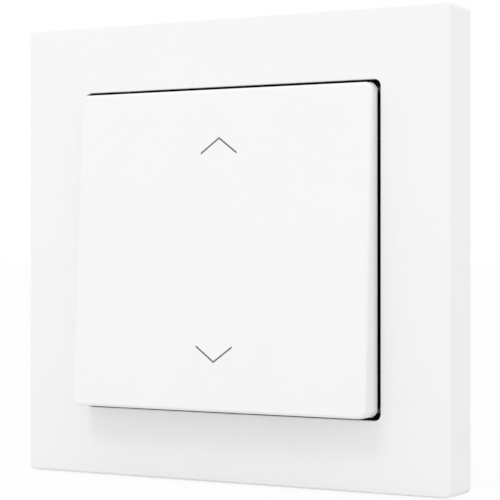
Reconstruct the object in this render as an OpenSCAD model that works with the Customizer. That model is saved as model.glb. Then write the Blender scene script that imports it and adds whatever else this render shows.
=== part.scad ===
// Two-way momentary push-button switch for roller blinds, flush mounted:
// a square cover frame, one rocker button and the insert that sits in the wall box.
// Millimetres. X to the right, Z up, the front faces -Y and the wall is the plane Y = 0.
// Every module is drawn lying on the wall (x right, y up, z out of the wall)
// and stood up by on_wall().

/* [Cover frame] */
// Width of the cover frame's border round the opening
border_w = 11.95; // [11.5:0.05:13]
// How far each side stands out further at the wall than at the front
cover_flare = 0.4; // [0.2:0.1:0.8]
// Depth of the cover frame, from the wall to its front
cover_depth = 9.5; // [9:0.1:10.5]
// Thickness of the cover frame's four sides
cover_wall = 2; // [1.4:0.1:2.4]
// Thickness of the cover frame's front
cover_front_t = 2; // [1.6:0.1:2.2]
// Radius of the four upright edges, seen from the front
cover_corner_r = 1; // [0.6:0.1:2]
// Rounding between the front and the sides
cover_edge_r = 0.45; // [0.2:0.05:0.55]
// Radius of the opening's corners
opening_corner_r = 0.7; // [0.3:0.1:1.2]
// How much of the front's thickness is cut away at a slant behind the opening's lip
lip_relief = 1.2; // [0.6:0.1:1.5]

/* [Rocker] */
// How far the rocker reaches past the front housing, above and below
rocker_margin = 4; // [3.8:0.1:5]
// Gap between the rocker and the opening, on each side
rocker_gap = 0.55; // [0.4:0.05:0.9]
// How far the middle of the rocker stands proud of the cover frame
rocker_rise = 3.97; // [3:0.1:5]
// Slope of the rocker's face, its lower edge further out
rocker_slope = 3.33; // [1:0.1:4]
// Radius of the rocker's corners, seen from the front
rocker_corner_r = 1.8; // [1.2:0.1:2.5]
// Rounding between the rocker's face and its sides
rocker_edge_r = 0.8; // [0.4:0.1:1.1]
// Wall of the moulded rocker
rocker_wall = 1.8; // [1.2:0.1:2]
// Draft of the rocker's sides, in degrees
rocker_draft = 1.5; // [0.5:0.1:2]
// Thickness of the ribs under the rocker's face
rib_t = 1.2; // [0.8:0.1:1.6]

/* [Tilting mechanism] */
// Distance of the rocker's axis from the wall
pivot_z = 6; // [5.8:0.1:6.2]
// How far the rocker tilts from rest each way, in degrees
tilt_range = 3; // [2:0.1:3]
// Radius of the two pivot pins
pivot_r = 1.5; // [1.2:0.05:1.7]
// Running clearance of a pivot pin in its ear
pivot_gap = 0.05; // [0.03:0.01:0.08]
// Width of the cradle between its two bearing ears
cradle_w = 33.2; // [30:0.2:34]
// Distance between the two edges of the cradle plate that the rocker's snap legs grip
cradle_h = 38; // [34:0.5:39]
// How far the cradle plate's rim stays inside the rocker's outline
cradle_inset = 0.15; // [0.1:0.05:0.3]
// Thickness of the cradle plate
cradle_t = 1.8; // [1.4:0.1:2]
// Distance of the cradle plate from the wall
cradle_z = 7.4; // [7.2:0.1:7.8]
// Length of the cradle's arm, from the rocker's axis to its round end
arm_reach = 19; // [18.5:0.1:19.5]
// Width of the arm
arm_w = 5; // [4:0.1:5.5]
// Thickness of the arm
arm_t = 2.6; // [2:0.1:2.8]
// Radius of the arm's round end
arm_end_r = 1.5; // [1.4:0.05:1.6]
// Distance of each return spring from the middle
spring_offset = 10.4; // [9.8:0.1:10.6]
// Outer radius of a return spring
spring_r = 2.2; // [2:0.1:2.4]
// Radius of the return spring's wire
spring_wire_r = 0.25; // [0.2:0.01:0.3]
// Turns of a return spring
spring_turns = 6; // [4:1:8]

/* [Support ring] */
// Gap between the steel support ring and the cover frame's sides
ring_gap = 2.5; // [2.2:0.1:3]
// Thickness of the support ring
ring_t = 1.2; // [1:0.1:1.3]
// Corner radius of the support ring
ring_corner_r = 4; // [2:0.5:6]
// Distance of a wall screw from the ring's edge
wall_screw_inset = 5.5; // [5.3:0.1:6]
// Half width of a wall screw slot
wall_slot_r = 1.8; // [1.6:0.1:2.2]
// End to end length of a wall screw slot
wall_slot_length = 7; // [6:0.5:8]

/* [Retaining frame] */
// How far the retaining frame stays inside the ring's edge
retainer_inset = 2.5; // [2:0.1:3]
// Thickness of the retaining frame's foot
retainer_t = 1.4; // [1:0.1:1.6]
// Wall of the retaining frame's collar
collar_t = 1.4; // [1:0.1:1.5]
// Gap between the collar and the edge of the cover's opening
collar_gap = 0.55; // [0.4:0.05:0.6]
// Radius of the four pins that hold the retaining frame
pin_r = 1.5; // [1.2:0.1:1.8]

/* [Base housing] */
// Wall of the base housing
base_wall = 1.8; // [1.4:0.1:2]
// Thickness of the base housing's floor, which holds the wire entries
floor_t = 4.5; // [4.3:0.1:5]
// Corners cut off the base housing
base_chamfer = 5; // [4:0.5:6]
// Thickness of the inner walls that back the rails
backing_t = 3.2; // [2.6:0.1:3.4]
// Distance of a wire entry from the middle, sideways
terminal_x = 13; // [12.8:0.1:13.4]
// Radius of a wire entry
wire_r = 1.7; // [1.5:0.05:1.8]
// Depth of the funnel in front of a wire entry
funnel_depth = 1.2; // [0.8:0.1:1.5]

/* [Front housing] */
// How far the front housing's flange reaches past the base housing, all round
flange_margin = 0.5; // [0.2:0.1:0.8]
// Thickness of the front housing's flange
flange_t = 2; // [1.8:0.1:2]
// Gap round the part of the front housing that dips into the base
plug_gap = 0.9; // [0.6:0.1:1]
// How far it dips behind the wall plane
plug_depth = 4; // [3.5:0.1:4.5]
// Wall round that part
plug_wall = 1.6; // [1.2:0.1:1.8]
// Length of a housing screw
housing_screw_length = 17.2; // [16:0.1:18]
// Shank radius of a housing screw
housing_screw_r = 1.3; // [1:0.1:1.4]
// Head radius of a housing screw
housing_head_r = 2.6; // [2.3:0.1:2.8]

/* [Contacts] */
// Thickness of the brass rails
rail_t = 0.8; // [0.6:0.1:1]
// Height of a silver contact
contact_t = 0.8; // [0.6:0.1:0.8]
// Radius of a silver contact
contact_r = 1.2; // [1:0.1:1.4]
// Gap of an open contact
contact_gap = 1.05; // [1.05:0.01:1.2]
// Half height of the slider's block, to its contact bridges
slider_half = 4.9; // [4.6:0.1:5]
// Thickness of a contact bridge
bridge_t = 0.5; // [0.4:0.05:0.6]
// Thickness of a clamp spring
clamp_t = 0.45; // [0.35:0.05:0.5]
// Width of a clamp spring
clamp_w = 6.8; // [6.4:0.1:7]

/* [Claws] */
// Gap between a claw's leg and the base housing
claw_gap = 1.1; // [1:0.1:1.3]
// Distance of a claw's middle line from the middle, up or down
claw_y = 9; // [8.8:0.1:9.4]
// Shank radius of a claw screw
claw_screw_r = 1.5; // [1.3:0.05:1.5]
// Head radius of a claw screw
claw_head_r = 2.8; // [2.4:0.1:2.9]
// Width of a claw
claw_w = 9; // [8.6:0.1:9.4]
// Sheet thickness of a claw
claw_t = 1; // [0.8:0.1:1]
// How far a claw ends short of the base housing's back
claw_short = 2.5; // [1.5:0.1:4]
// Length of a claw screw behind the ring's front
claw_screw_length = 10.2; // [9.6:0.1:11]

/* [Hidden] */
$fn = 48;

// Small play between pieces of one body, and between pieces that slide
play = 0.1;
slide_play = 0.15;
// Overshoot of a cut past the face it opens
cut = 0.5;
// Thin slice that a rounded shell is drawn from
slice_t = 0.01;

// The insert's sizes follow from the slider and the terminals outwards
arm_end_room = 1.5;
slider_mouth = 2.1;
slider_back = pivot_z - arm_reach - arm_end_r - arm_end_room;
slider_front = pivot_z - arm_reach + arm_end_r + slider_mouth;
slider_foot_t = 3.4;
floor_z = slider_back - slider_foot_t - play;
base_depth = floor_t - floor_z;
contact_z = pivot_z - arm_reach;
contact_inset = 4.4;
contact_x = terminal_x - contact_inset;
fixed_y = slider_half + bridge_t + contact_t + contact_gap;
tab_y = fixed_y + contact_t;
clamp_room = 1.15;
clamp_low = tab_y + rail_t + clamp_room;
clamp_y = clamp_low + clamp_w / 2;
wire_offset = 1.2;
terminal_y = clamp_y + wire_offset;
rail_x = terminal_x + wire_r;
rail_past = 4;
rail_end = terminal_y + rail_past;
end_room = 2.6;
base_w = 2 * (rail_x + rail_t + backing_t + base_wall);
base_h = 2 * (rail_end + end_room + base_wall);
ring_open_inset = base_wall + plug_gap - 0.5;
plug_inset = base_wall + plug_gap;
plug_half = base_h / 2 - plug_inset;

// Sizes across the front follow from the front housing outwards
rocker_w = base_h + 2 * flange_margin + 2 * rocker_margin;
opening_w = rocker_w + 2 * rocker_gap;
cover_w = opening_w + 2 * border_w;
face_z = cover_depth + rocker_rise;
cradle_top = cradle_z + cradle_t;
skirt_z = cradle_top + play;
cover_in_z = cover_depth - cover_front_t;

ring_w = cover_w - 2 * (cover_wall + ring_gap);
wall_screw_pitch = ring_w - 2 * wall_screw_inset;
window_w = 6;
window_inset = 11.5;
window_pitch = ring_w - 2 * window_inset;
retainer_w = ring_w - 2 * retainer_inset;
collar_in_w = opening_w + 2 * collar_gap;
collar_out_w = collar_in_w + 2 * collar_t;
// The foot reaches in past the collar
retainer_in_w = collar_in_w - 2;
retainer_top = ring_t + retainer_t;
pin_inset = 3.5;
pin_pitch = retainer_w - 2 * pin_inset;
ledge_reach = 3;
ledge_z = 4.4;
ledge_t = 1.2;
ledge_w = 6;
ledge_y = 18;
hook_t = 1.4;
hook_nose = 0.9;
hook_gap = 0.2;
// Covered alcove over a wall screw's head, open to the wall and outwards
arch_w = 9.4;
arch_h = 3.4;
arch_room = 3.8;
arch_in = wall_screw_pitch / 2 - arch_room;
arch_wall = 0.7;

flange_top = ring_t + flange_t;
cheek_t = 2.4;
cheek_r = pivot_r + 0.9;
ear_gap = 0.4;
ear_t = 2.8;
ear_r = pivot_r + pivot_gap + 1.05;
ear_x = cradle_w / 2 + ear_gap;
ear_room = 0.6;
rib_x = 10;
rib_y = 12;
leg_x = 6;
leg_w = 6;
leg_gap = 0.3;
leg_nose = 1;
leg_nose_t = 1.2;
leg_y = cradle_h / 2 + leg_gap;
pocket_r = spring_r + 0.3;
pocket_floor = ring_t - 1.8;
pocket_wall = 0.8;
screw_boss_r = housing_head_r + 0.4;
housing_screw_y = plug_half - screw_boss_r - 0.1;
screw_tip = 0.6;
arm_swing = (pivot_z + plug_depth) * tan(tilt_range);
arm_slot_w = arm_w + 2;
arm_slot_h = arm_t + 2 * arm_swing + 2;

slider_w = 2 * (contact_x - contact_r - 1.4);
guide_h = 2.3;
guide_t = 1.5;
guide_half = 9;
foot_w = 6;
foot_half = 7;
peg_r = 0.9;
bridge_w = 2 * (contact_x + 1.8);
bridge_h = 2.8;
tab_h = 3.6;
tab_end = contact_x - contact_r - 0.2;
rail_depth = 12.5;
rail_front = floor_z + rail_depth;

clamp_leg_x = terminal_x - 3.4;
clamp_bend_r = 0.9;
// Front end, bend and tip of a clamp spring, above the floor
clamp_front = floor_z + 10.5;
clamp_bend_z = floor_z + 3;
clamp_tip_z = floor_z + 7.5;
wedge_wall = 0.7;

key_w = 3.4;
key_x = terminal_x - 0.9;
key_half = clamp_low + 1;
key_t = 1.7;
key_travel = 1.2;
key_channel = key_t + key_travel + 0.3;
finger_w = 1.5;
finger_x = terminal_x - 0.55;
finger_h = 1.05;
finger_tip = floor_z + 2.9;

claw_leg_x = base_w / 2 + claw_gap + claw_t / 2;
claw_screw_x = claw_leg_x + 2.1;
claw_length = base_depth - claw_short;
claw_foot_z = -2.5;
claw_foot_end = claw_leg_x + 4.9;
claw_slot_r = claw_screw_r + 0.15;
claw_window_r = 2.3;
claw_window_end = -12.5;
claw_toe_x = claw_leg_x + 3;
claw_notch = 1.8;
claw_lug_w = 1.2;
claw_head_h = 2;
claw_head_edge = 0.6;

// Turns what lies on the wall, x right and y up, to stand in the part's own frame
module on_wall() {
    rotate([90, 0, 0]) children();
}

// Both or all four mirror images of a shape
module two_ways(axis) {
    children();
    mirror(axis) children();
}

module four_ways() {
    two_ways([1, 0, 0]) two_ways([0, 1, 0]) children();
}

module quarter_turns() {
    for (turn = [0:3]) rotate([0, 0, 90 * turn]) children();
}

// Rectangle with round corners
module round_rect(w, h, r) {
    square([w - 2 * r, h], center = true);
    square([w, h - 2 * r], center = true);
    for (x = [-1, 1], y = [-1, 1])
        translate([x * (w / 2 - r), y * (h / 2 - r)]) circle(r);
}

// Upright block over a rectangle with round corners, from z0 to z1
module round_block(w, h, r, z0, z1) {
    translate([0, 0, z0]) linear_extrude(z1 - z0) round_rect(w, h, r);
}

// Plain block from corner to corner
module block(low, high) {
    translate(low) cube(high - low);
}

// Rod or hole along z
module rod(r, z0, z1) {
    translate([0, 0, z0]) cylinder(r = r, h = z1 - z0);
}

// Slot across a screw's head for the driver
module drive_slot(head_r, top, depth) {
    block([-head_r - cut, -0.4, top - depth], [head_r + cut, 0.4, top + cut]);
}

// Outline of a bent strip of sheet, from the points of its middle line
function strip_side(p, i) =
    let (a = p[max(i - 1, 0)], b = p[min(i + 1, len(p) - 1)], d = b - a)
    [-d[1], d[0]] / norm(d);
function strip_outline(p, t) = concat(
    [for (i = [0:len(p) - 1]) p[i] + strip_side(p, i) * t / 2],
    [for (i = [len(p) - 1:-1:0]) p[i] - strip_side(p, i) * t / 2]
);
function arc_points(centre, r, from, to, steps) =
    [for (i = [0:steps]) centre + r * [cos(from + (to - from) * i / steps),
                                       sin(from + (to - from) * i / steps)]];

// Thin slice of the cover's outer form at a height, narrower by an inset
module cover_slice(z, inset) {
    lean = cover_flare * (1 - min(z / (cover_depth - cover_edge_r), 1));
    w = cover_w + 2 * lean - 2 * inset;
    translate([0, 0, z]) linear_extrude(slice_t)
        round_rect(w, w, max(cover_corner_r - inset, 0.15), $fn = 32);
}

module cover_solid() {
    hull() {
        cover_slice(0, 0);
        for (a = [0:15:90])
            cover_slice(cover_depth - cover_edge_r - slice_t + cover_edge_r * sin(a),
                        cover_edge_r * (1 - cos(a)));
    }
}

// Hollow behind the front, with the same slope as the sides
module cover_hollow() {
    hull() {
        translate([0, 0, -cut]) linear_extrude(slice_t)
            square(cover_w + 2 * cover_flare - 2 * cover_wall, center = true);
        translate([0, 0, cover_in_z - slice_t]) linear_extrude(slice_t)
            square(cover_w - 2 * cover_wall, center = true);
    }
}

// Slant behind the opening that leaves a thin lip in front
module opening_relief() {
    low = opening_w + 2 * (lip_relief + cut);
    hull() {
        translate([0, 0, cover_in_z - cut]) linear_extrude(slice_t)
            round_rect(low, low, opening_corner_r + lip_relief);
        translate([0, 0, cover_in_z + lip_relief - slice_t]) linear_extrude(slice_t)
            round_rect(opening_w, opening_w, opening_corner_r);
    }
}

// Hook that snaps behind a ledge of the retaining frame
module cover_hook() {
    x = collar_out_w / 2 + ledge_reach + 0.3;
    nose_z = ledge_z - hook_gap;
    translate([0, ledge_w / 2, 0]) rotate([90, 0, 0]) linear_extrude(ledge_w)
        polygon([[x, cover_in_z], [x, nose_z], [x - hook_nose, nose_z],
                 [x, nose_z - ledge_t], [x + hook_t, nose_z - ledge_t], [x + hook_t, cover_in_z]]);
}

module cover_frame() {
    color("white") on_wall() {
        difference() {
            cover_solid();
            cover_hollow();
            round_block(opening_w, opening_w, opening_corner_r, 0, cover_depth + cut);
            opening_relief();
        }
        quarter_turns() for (y = [-ledge_y, ledge_y]) translate([0, y, 0]) cover_hook();
    }
}

// Alcove over a wall screw's head: the block it is cut from, and its hollow
module arch_block() {
    block([arch_in - arch_wall, -arch_w / 2 - arch_wall, ring_t],
          [collar_out_w / 2 - play, arch_w / 2 + arch_wall, ring_t + arch_h + arch_wall]);
}

module arch_hollow() {
    block([arch_in, -arch_w / 2, 0], [retainer_w / 2 + cut, arch_w / 2, ring_t + arch_h]);
}

// Black frame on the support ring: its collar lines the opening behind the cover
module clip_frame() {
    color("black") on_wall() {
        difference() {
            union() {
                difference() {
                    union() {
                        round_block(retainer_w, retainer_w, 2, ring_t, retainer_top);
                        round_block(collar_out_w, collar_out_w, 1.5, ring_t, cover_in_z);
                    }
                    round_block(retainer_in_w, retainer_in_w, 1, 0, retainer_top);
                    round_block(collar_in_w, collar_in_w, 1, retainer_top, cover_in_z + cut);
                }
                quarter_turns() arch_block();
            }
            quarter_turns() arch_hollow();
            for (side = [-1, 1]) translate([side * claw_screw_x, -side * claw_y, 0])
                rod(claw_head_r + 0.4, 0, ring_t + claw_head_h + 0.4);
        }
        quarter_turns() for (y = [-ledge_y, ledge_y])
            block([collar_out_w / 2 - play, y - ledge_w / 2, ledge_z],
                  [collar_out_w / 2 + ledge_reach, y + ledge_w / 2, ledge_z + ledge_t]);
        four_ways() translate([pin_pitch / 2, pin_pitch / 2, 0]) rod(pin_r, 0, ring_t + play);
    }
}

// Slot for a wall screw, its length along x
module wall_slot() {
    straight = wall_slot_length - 2 * wall_slot_r;
    translate([wall_screw_pitch / 2, 0, 0]) {
        block([-straight / 2, -wall_slot_r, -cut], [straight / 2, wall_slot_r, ring_t + cut]);
        for (x = [-straight / 2, straight / 2])
            translate([x, 0, 0]) rod(wall_slot_r, -cut, ring_t + cut);
    }
}

module support_ring() {
    color("silver") on_wall() difference() {
        round_block(ring_w, ring_w, ring_corner_r, 0, ring_t);
        base_prism(ring_open_inset, -cut, ring_t + cut);
        quarter_turns() wall_slot();
        four_ways() translate([pin_pitch / 2, pin_pitch / 2, 0])
            rod(pin_r + 0.05, -cut, ring_t + cut);
        for (side = [-1, 1]) translate([side * claw_screw_x, -side * claw_y, 0])
            rod(claw_screw_r + 0.2, -cut, ring_t + cut);
        // Punched windows in the corners
        four_ways() translate([window_pitch / 2, window_pitch / 2, 0])
            round_block(window_w, window_w, 1, -cut, ring_t + cut);
    }
}

// Upright block over the base housing's plan, set in by a distance all round
module base_prism(inset, z0, z1) {
    w = base_w / 2 - inset;
    h = base_h / 2 - inset;
    c = base_chamfer - inset * (2 - sqrt(2));
    translate([0, 0, z0]) linear_extrude(z1 - z0)
        polygon([[w, c - h], [w, h - c], [w - c, h], [c - w, h],
                 [-w, h - c], [-w, c - h], [c - w, -h], [w - c, -h]]);
}

// Wire entry: a round hole through the floor with a funnel at the back
module wire_entry() {
    translate([terminal_x, terminal_y, -base_depth]) {
        rod(wire_r, -cut, floor_t + cut);
        translate([0, 0, -slice_t])
            cylinder(r1 = wire_r + funnel_depth / 2, r2 = wire_r, h = funnel_depth);
    }
}

// Channel and finger slots of a release key
module key_cut() {
    block([key_x - key_w / 2 - slide_play, -key_half - slide_play, -base_depth - cut],
          [key_x + key_w / 2 + slide_play, key_half + slide_play, key_channel - base_depth]);
    two_ways([0, 1, 0])
        block([finger_x - finger_w / 2 - slide_play, key_half - finger_h - slide_play, -base_depth],
              [finger_x + finger_w / 2 + slide_play, key_half + slide_play, floor_z + cut]);
}

// What a rail and its clamp springs lean on
module terminal_walls() {
    block([rail_x + rail_t, terminal_y - 2 * wire_r, floor_z - play],
          [base_w / 2 - base_wall + play, terminal_y + 1.5 * wire_r, rail_front - 1]);
    block([clamp_leg_x - clamp_t / 2 - wedge_wall, clamp_y - clamp_w / 2, floor_z - play],
          [clamp_leg_x - clamp_t / 2, clamp_y + clamp_w / 2, clamp_front + 0.5]);
}

// Ribs on the outside that guide the right-hand claw
module claw_guides() {
    translate([0, -claw_y, 0]) two_ways([0, 1, 0])
        block([base_w / 2 - play, claw_w / 2 + 0.2, -claw_length + 4],
              [claw_leg_x + claw_t / 2, claw_w / 2 + 1, -1]);
}

module base_housing() {
    color("lightgray") on_wall() {
        difference() {
            union() {
                base_prism(0, -base_depth, 0);
                claw_guides();
                rotate([0, 0, 180]) claw_guides();
            }
            base_prism(base_wall, floor_z, cut);
            four_ways() wire_entry();
            two_ways([1, 0, 0]) key_cut();
        }
        four_ways() terminal_walls();
        // Rails that guide the slider's foot
        two_ways([1, 0, 0])
            block([foot_w / 2 + slide_play, -guide_half, floor_z - play],
                  [foot_w / 2 + slide_play + guide_t, guide_half, floor_z + guide_h]);
        // Bosses for the two housing screws
        two_ways([0, 1, 0]) translate([0, housing_screw_y, 0]) difference() {
            rod(screw_boss_r, floor_z - play, -plug_depth - play);
            rod(housing_screw_r + 0.05, flange_top - housing_screw_length - 1, 0);
        }
    }
}

module bearing_ear() {
    rotate([90, 0, 90]) translate([0, 0, ear_x]) linear_extrude(ear_t) difference() {
        union() {
            translate([0, pivot_z]) circle(ear_r);
            translate([-ear_r, flange_top - play]) square([2 * ear_r, pivot_z - flange_top + play]);
        }
        translate([0, pivot_z]) circle(pivot_r + pivot_gap);
    }
}

module front_housing() {
    color("dimgray") on_wall() {
        difference() {
            union() {
                base_prism(-flange_margin, ring_t, flange_top);
                difference() {
                    base_prism(plug_inset, -plug_depth, ring_t + play);
                    base_prism(plug_inset + plug_wall, -plug_depth - cut, ring_t);
                }
                two_ways([0, 1, 0]) {
                    translate([0, spring_offset, 0])
                        rod(pocket_r + pocket_wall, pocket_floor - 1, ring_t + play);
                    translate([0, housing_screw_y, 0])
                        rod(screw_boss_r, -plug_depth, ring_t + play);
                }
            }
            block([-arm_slot_w / 2, -arm_slot_h / 2, 0],
                  [arm_slot_w / 2, arm_slot_h / 2, flange_top + cut]);
            two_ways([0, 1, 0]) {
                translate([0, spring_offset, 0]) rod(pocket_r, pocket_floor, flange_top + cut);
                translate([0, housing_screw_y, 0]) {
                    rod(housing_screw_r + play, -plug_depth - cut, flange_top + cut);
                    translate([0, 0, flange_top - housing_head_r + housing_screw_r])
                        cylinder(r1 = housing_screw_r + play, r2 = housing_head_r + play + slice_t,
                                 h = housing_head_r - housing_screw_r + slice_t);
                }
            }
        }
        two_ways([1, 0, 0]) bearing_ear();
    }
}

// Countersunk screw that holds the two housings together, the ring between them
module housing_screw() {
    tip = flange_top - housing_screw_length;
    color("silver") difference() {
        rotate_extrude() polygon([
            [0, tip], [housing_screw_r - screw_tip, tip], [housing_screw_r, tip + screw_tip],
            [housing_screw_r, flange_top - housing_head_r + housing_screw_r],
            [housing_head_r, flange_top], [0, flange_top]]);
        drive_slot(housing_head_r, flange_top, 0.8);
    }
}

module housing_screw_upper() {
    on_wall() translate([0, housing_screw_y, 0]) housing_screw();
}

module housing_screw_lower() {
    on_wall() translate([0, -housing_screw_y, 0]) housing_screw();
}

// Height of the rocker's sloping face over a point of the wall
function rocker_face(y) = face_z - tan(rocker_slope) * y;

// Corner of the rocker: a post that leans in by the draft, its rounded top turned with the face
module rocker_post(x, y, inset) {
    r = max(rocker_corner_r - inset, 0.6);
    edge = max(rocker_edge_r - inset, 0.3);
    half = rocker_w / 2 - inset;
    top = rocker_face(y * (half - r)) - inset - edge;
    lean = tan(rocker_draft) * (top - skirt_z);
    translate([x * (half - r), y * (half - r), skirt_z - (inset > 0 ? cut : 0)])
        cylinder(r = r, h = slice_t);
    translate([x * (half - lean - r), y * (half - lean - r), top]) rotate([-rocker_slope, 0, 0])
        rotate_extrude() translate([r - edge, 0]) circle(edge, $fn = 24);
}

module rocker_solid(inset) {
    hull() for (x = [-1, 1], y = [-1, 1]) rocker_post(x, y, inset, $fn = 40);
}

// Ribs under the face, down to the cradle plate they rest on
module rocker_ribs() {
    half = leg_y - play;
    for (x = [-rib_x, rib_x])
        block([x - rib_t / 2, -half, cradle_top], [x + rib_t / 2, half, face_z]);
    for (y = [-rib_y, 0, rib_y])
        block([-cradle_w / 2, y - rib_t / 2, cradle_top], [cradle_w / 2, y + rib_t / 2, face_z]);
}

// Snap leg that goes through the cradle plate and grips its edge, above or below the axis
module rocker_leg(x, side) {
    tip = cradle_z - leg_nose_t;
    root = rocker_face(side * leg_y) - rocker_wall / 2;
    mirror([0, side < 0 ? 1 : 0, 0]) translate([x + leg_w / 2, 0, 0]) rotate([90, 0, -90])
        linear_extrude(leg_w)
            polygon([[-leg_y - rib_t, root], [-leg_y - rib_t, tip], [play - leg_y, tip],
                     [leg_nose - leg_y, cradle_z - 0.2], [-leg_y, cradle_z - 0.2],
                     [-leg_y, root]]);
}

module rocker_cap() {
    color("white") on_wall() {
        difference() {
            rocker_solid(0);
            rocker_solid(rocker_wall);
        }
        intersection() {
            rocker_solid(rocker_wall / 2);
            rocker_ribs();
        }
        for (x = [-leg_x, leg_x], side = [-1, 1]) rocker_leg(x, side);
    }
}

// Plate of the yoke, with windows for the bearing ears and the rocker's snap legs
module cradle_plate() {
    w = rocker_w - 2 * cradle_inset;
    difference() {
        round_block(w, w, rocker_corner_r - cradle_inset, cradle_z, cradle_top);
        two_ways([1, 0, 0])
            block([cradle_w / 2, -ear_r - ear_room, cradle_z - cut],
                  [ear_x + ear_t + ear_gap, ear_r + ear_room, cradle_top + cut]);
        four_ways()
            block([leg_x - leg_w / 2 - leg_gap, cradle_h / 2, cradle_z - cut],
                  [leg_x + leg_w / 2 + leg_gap, leg_y + rib_t + leg_nose, cradle_top + cut]);
    }
}

// Yoke that carries the rocker: plate, two cheeks with pivot pins, and the arm
module rocker_cradle() {
    color("dimgray") on_wall() {
        cradle_plate();
        two_ways([1, 0, 0]) {
            rotate([90, 0, 90]) translate([0, 0, cradle_w / 2 - cheek_t]) linear_extrude(cheek_t) {
                translate([0, pivot_z]) circle(cheek_r);
                translate([-cheek_r, pivot_z]) square([2 * cheek_r, cradle_z + 0.1 - pivot_z]);
            }
            rotate([0, 90, 0]) translate([-pivot_z, 0, cradle_w / 2 - 0.1])
                cylinder(r = pivot_r, h = 0.1 + ear_gap + ear_t + 0.4);
        }
        block([-arm_w / 2, -arm_t / 2, contact_z], [arm_w / 2, arm_t / 2, cradle_z + 0.1]);
        translate([-arm_w / 2, 0, contact_z]) rotate([0, 90, 0])
            cylinder(r = arm_end_r, h = arm_w);
        // Webs at the arm's root, and pegs that centre the return springs
        block([cheek_t - cradle_w / 2 - play, -rib_t / 2, pivot_z - 1],
              [cradle_w / 2 - cheek_t + play, rib_t / 2, cradle_z + play]);
        two_ways([0, 1, 0]) translate([0, spring_offset, 0])
            rod(spring_r - 2 * spring_wire_r - 0.3, cradle_z - 1.5, cradle_z + 0.1);
    }
}

// Compression spring: a round wire swept along a helix
module return_spring(y) {
    sides = 6;
    steps = 14;
    coil_r = spring_r - spring_wire_r;
    low = pocket_floor + spring_wire_r + 0.02;
    rise = cradle_z - spring_wire_r - 0.02 - low;
    n = spring_turns * steps;
    points = [for (i = [0:n], k = [0:sides - 1])
        let (a = 360 * i / steps, b = 360 * k / sides, r = coil_r + spring_wire_r * cos(b))
        [r * cos(a), r * sin(a), low + rise * i / n + spring_wire_r * sin(b)]];
    walls = [for (i = [0:n - 1], k = [0:sides - 1])
        let (m = (k + 1) % sides)
        [i * sides + k, i * sides + m, (i + 1) * sides + m, (i + 1) * sides + k]];
    ends = [[for (k = [sides - 1:-1:0]) k], [for (k = [0:sides - 1]) n * sides + k]];
    translate([0, y, 0]) polyhedron(points, concat(walls, ends));
}

module return_spring_upper() {
    color("silver") on_wall() return_spring(spring_offset);
}

module return_spring_lower() {
    color("silver") on_wall() return_spring(-spring_offset);
}

// Slider that the cradle's arm pushes up and down on the base's floor
module contact_slider() {
    color("beige") on_wall() {
        difference() {
            block([-slider_w / 2, -slider_half, slider_back], [slider_w / 2, slider_half, slider_front]);
            block([-arm_w / 2 - 0.5, -arm_end_r - 0.05, contact_z - arm_end_r - 0.3],
                  [arm_w / 2 + 0.5, arm_end_r + 0.05, slider_front + cut]);
        }
        block([-foot_w / 2, -foot_half, floor_z + play], [foot_w / 2, foot_half, slider_back + play]);
        // Pegs that the contact bridges are pushed onto
        two_ways([0, 1, 0]) translate([0, slider_half - 0.1, contact_z]) rotate([-90, 0, 0])
            cylinder(r = peg_r, h = bridge_t + 0.5);
    }
}

module contact_bridge(y_side) {
    color("goldenrod") on_wall() mirror([0, y_side < 0 ? 1 : 0, 0]) difference() {
        block([-bridge_w / 2, slider_half, contact_z - bridge_h / 2],
              [bridge_w / 2, slider_half + bridge_t, contact_z + bridge_h / 2]);
        translate([0, slider_half - cut, contact_z]) rotate([-90, 0, 0])
            cylinder(r = peg_r + 0.05, h = bridge_t + 2 * cut);
    }
}

// Pressing the top of the rocker moves the slider down
module contact_bridge_up() {
    contact_bridge(-1);
}

module contact_bridge_down() {
    contact_bridge(1);
}

module contact_buttons(y) {
    color("whitesmoke") on_wall() four_ways() translate([contact_x, y, contact_z])
        rotate([-90, 0, 0]) cylinder(r = contact_r, h = contact_t);
}

module moving_contacts() {
    contact_buttons(slider_half + bridge_t);
}

module fixed_contacts() {
    contact_buttons(fixed_y);
}

// Upright brass strip along the terminals, and the tab that carries a fixed contact
module rail_wall(low_y, high_y) {
    block([rail_x, low_y, floor_z], [rail_x + rail_t, high_y, rail_front]);
}

module rail_tab() {
    block([tab_end, tab_y, contact_z - tab_h / 2], [rail_x + 0.1, tab_y + rail_t, contact_z + tab_h / 2]);
}

module rail_common() {
    color("goldenrod") on_wall() mirror([1, 0, 0]) {
        rail_wall(-rail_end, rail_end);
        two_ways([0, 1, 0]) rail_tab();
    }
}

module rail_down() {
    color("goldenrod") on_wall() {
        rail_wall(tab_y, rail_end);
        rail_tab();
    }
}

module rail_up() {
    color("goldenrod") on_wall() mirror([0, 1, 0]) {
        rail_wall(tab_y, rail_end);
        rail_tab();
    }
}

// Leaf spring that presses a wire against its rail
module clamp_spring() {
    tip_x = rail_x - 0.35;
    bend = [clamp_leg_x + clamp_bend_r, clamp_bend_z];
    line = concat(
        [[clamp_leg_x, clamp_front]],
        arc_points(bend, clamp_bend_r, 180, 330, 8),
        [[tip_x - 0.1, clamp_tip_z]]
    );
    translate([0, clamp_y + clamp_w / 2, 0]) rotate([90, 0, 0]) linear_extrude(clamp_w)
        polygon(strip_outline(line, clamp_t));
}

module clamp_at(x_side, y_side) {
    color("lightsteelblue") on_wall()
        mirror([x_side < 0 ? 1 : 0, 0, 0]) mirror([0, y_side < 0 ? 1 : 0, 0]) clamp_spring();
}

module clamp_spring_upper_left() {
    clamp_at(-1, 1);
}

module clamp_spring_lower_left() {
    clamp_at(-1, -1);
}

module clamp_spring_upper_right() {
    clamp_at(1, 1);
}

module clamp_spring_lower_right() {
    clamp_at(1, -1);
}

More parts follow.
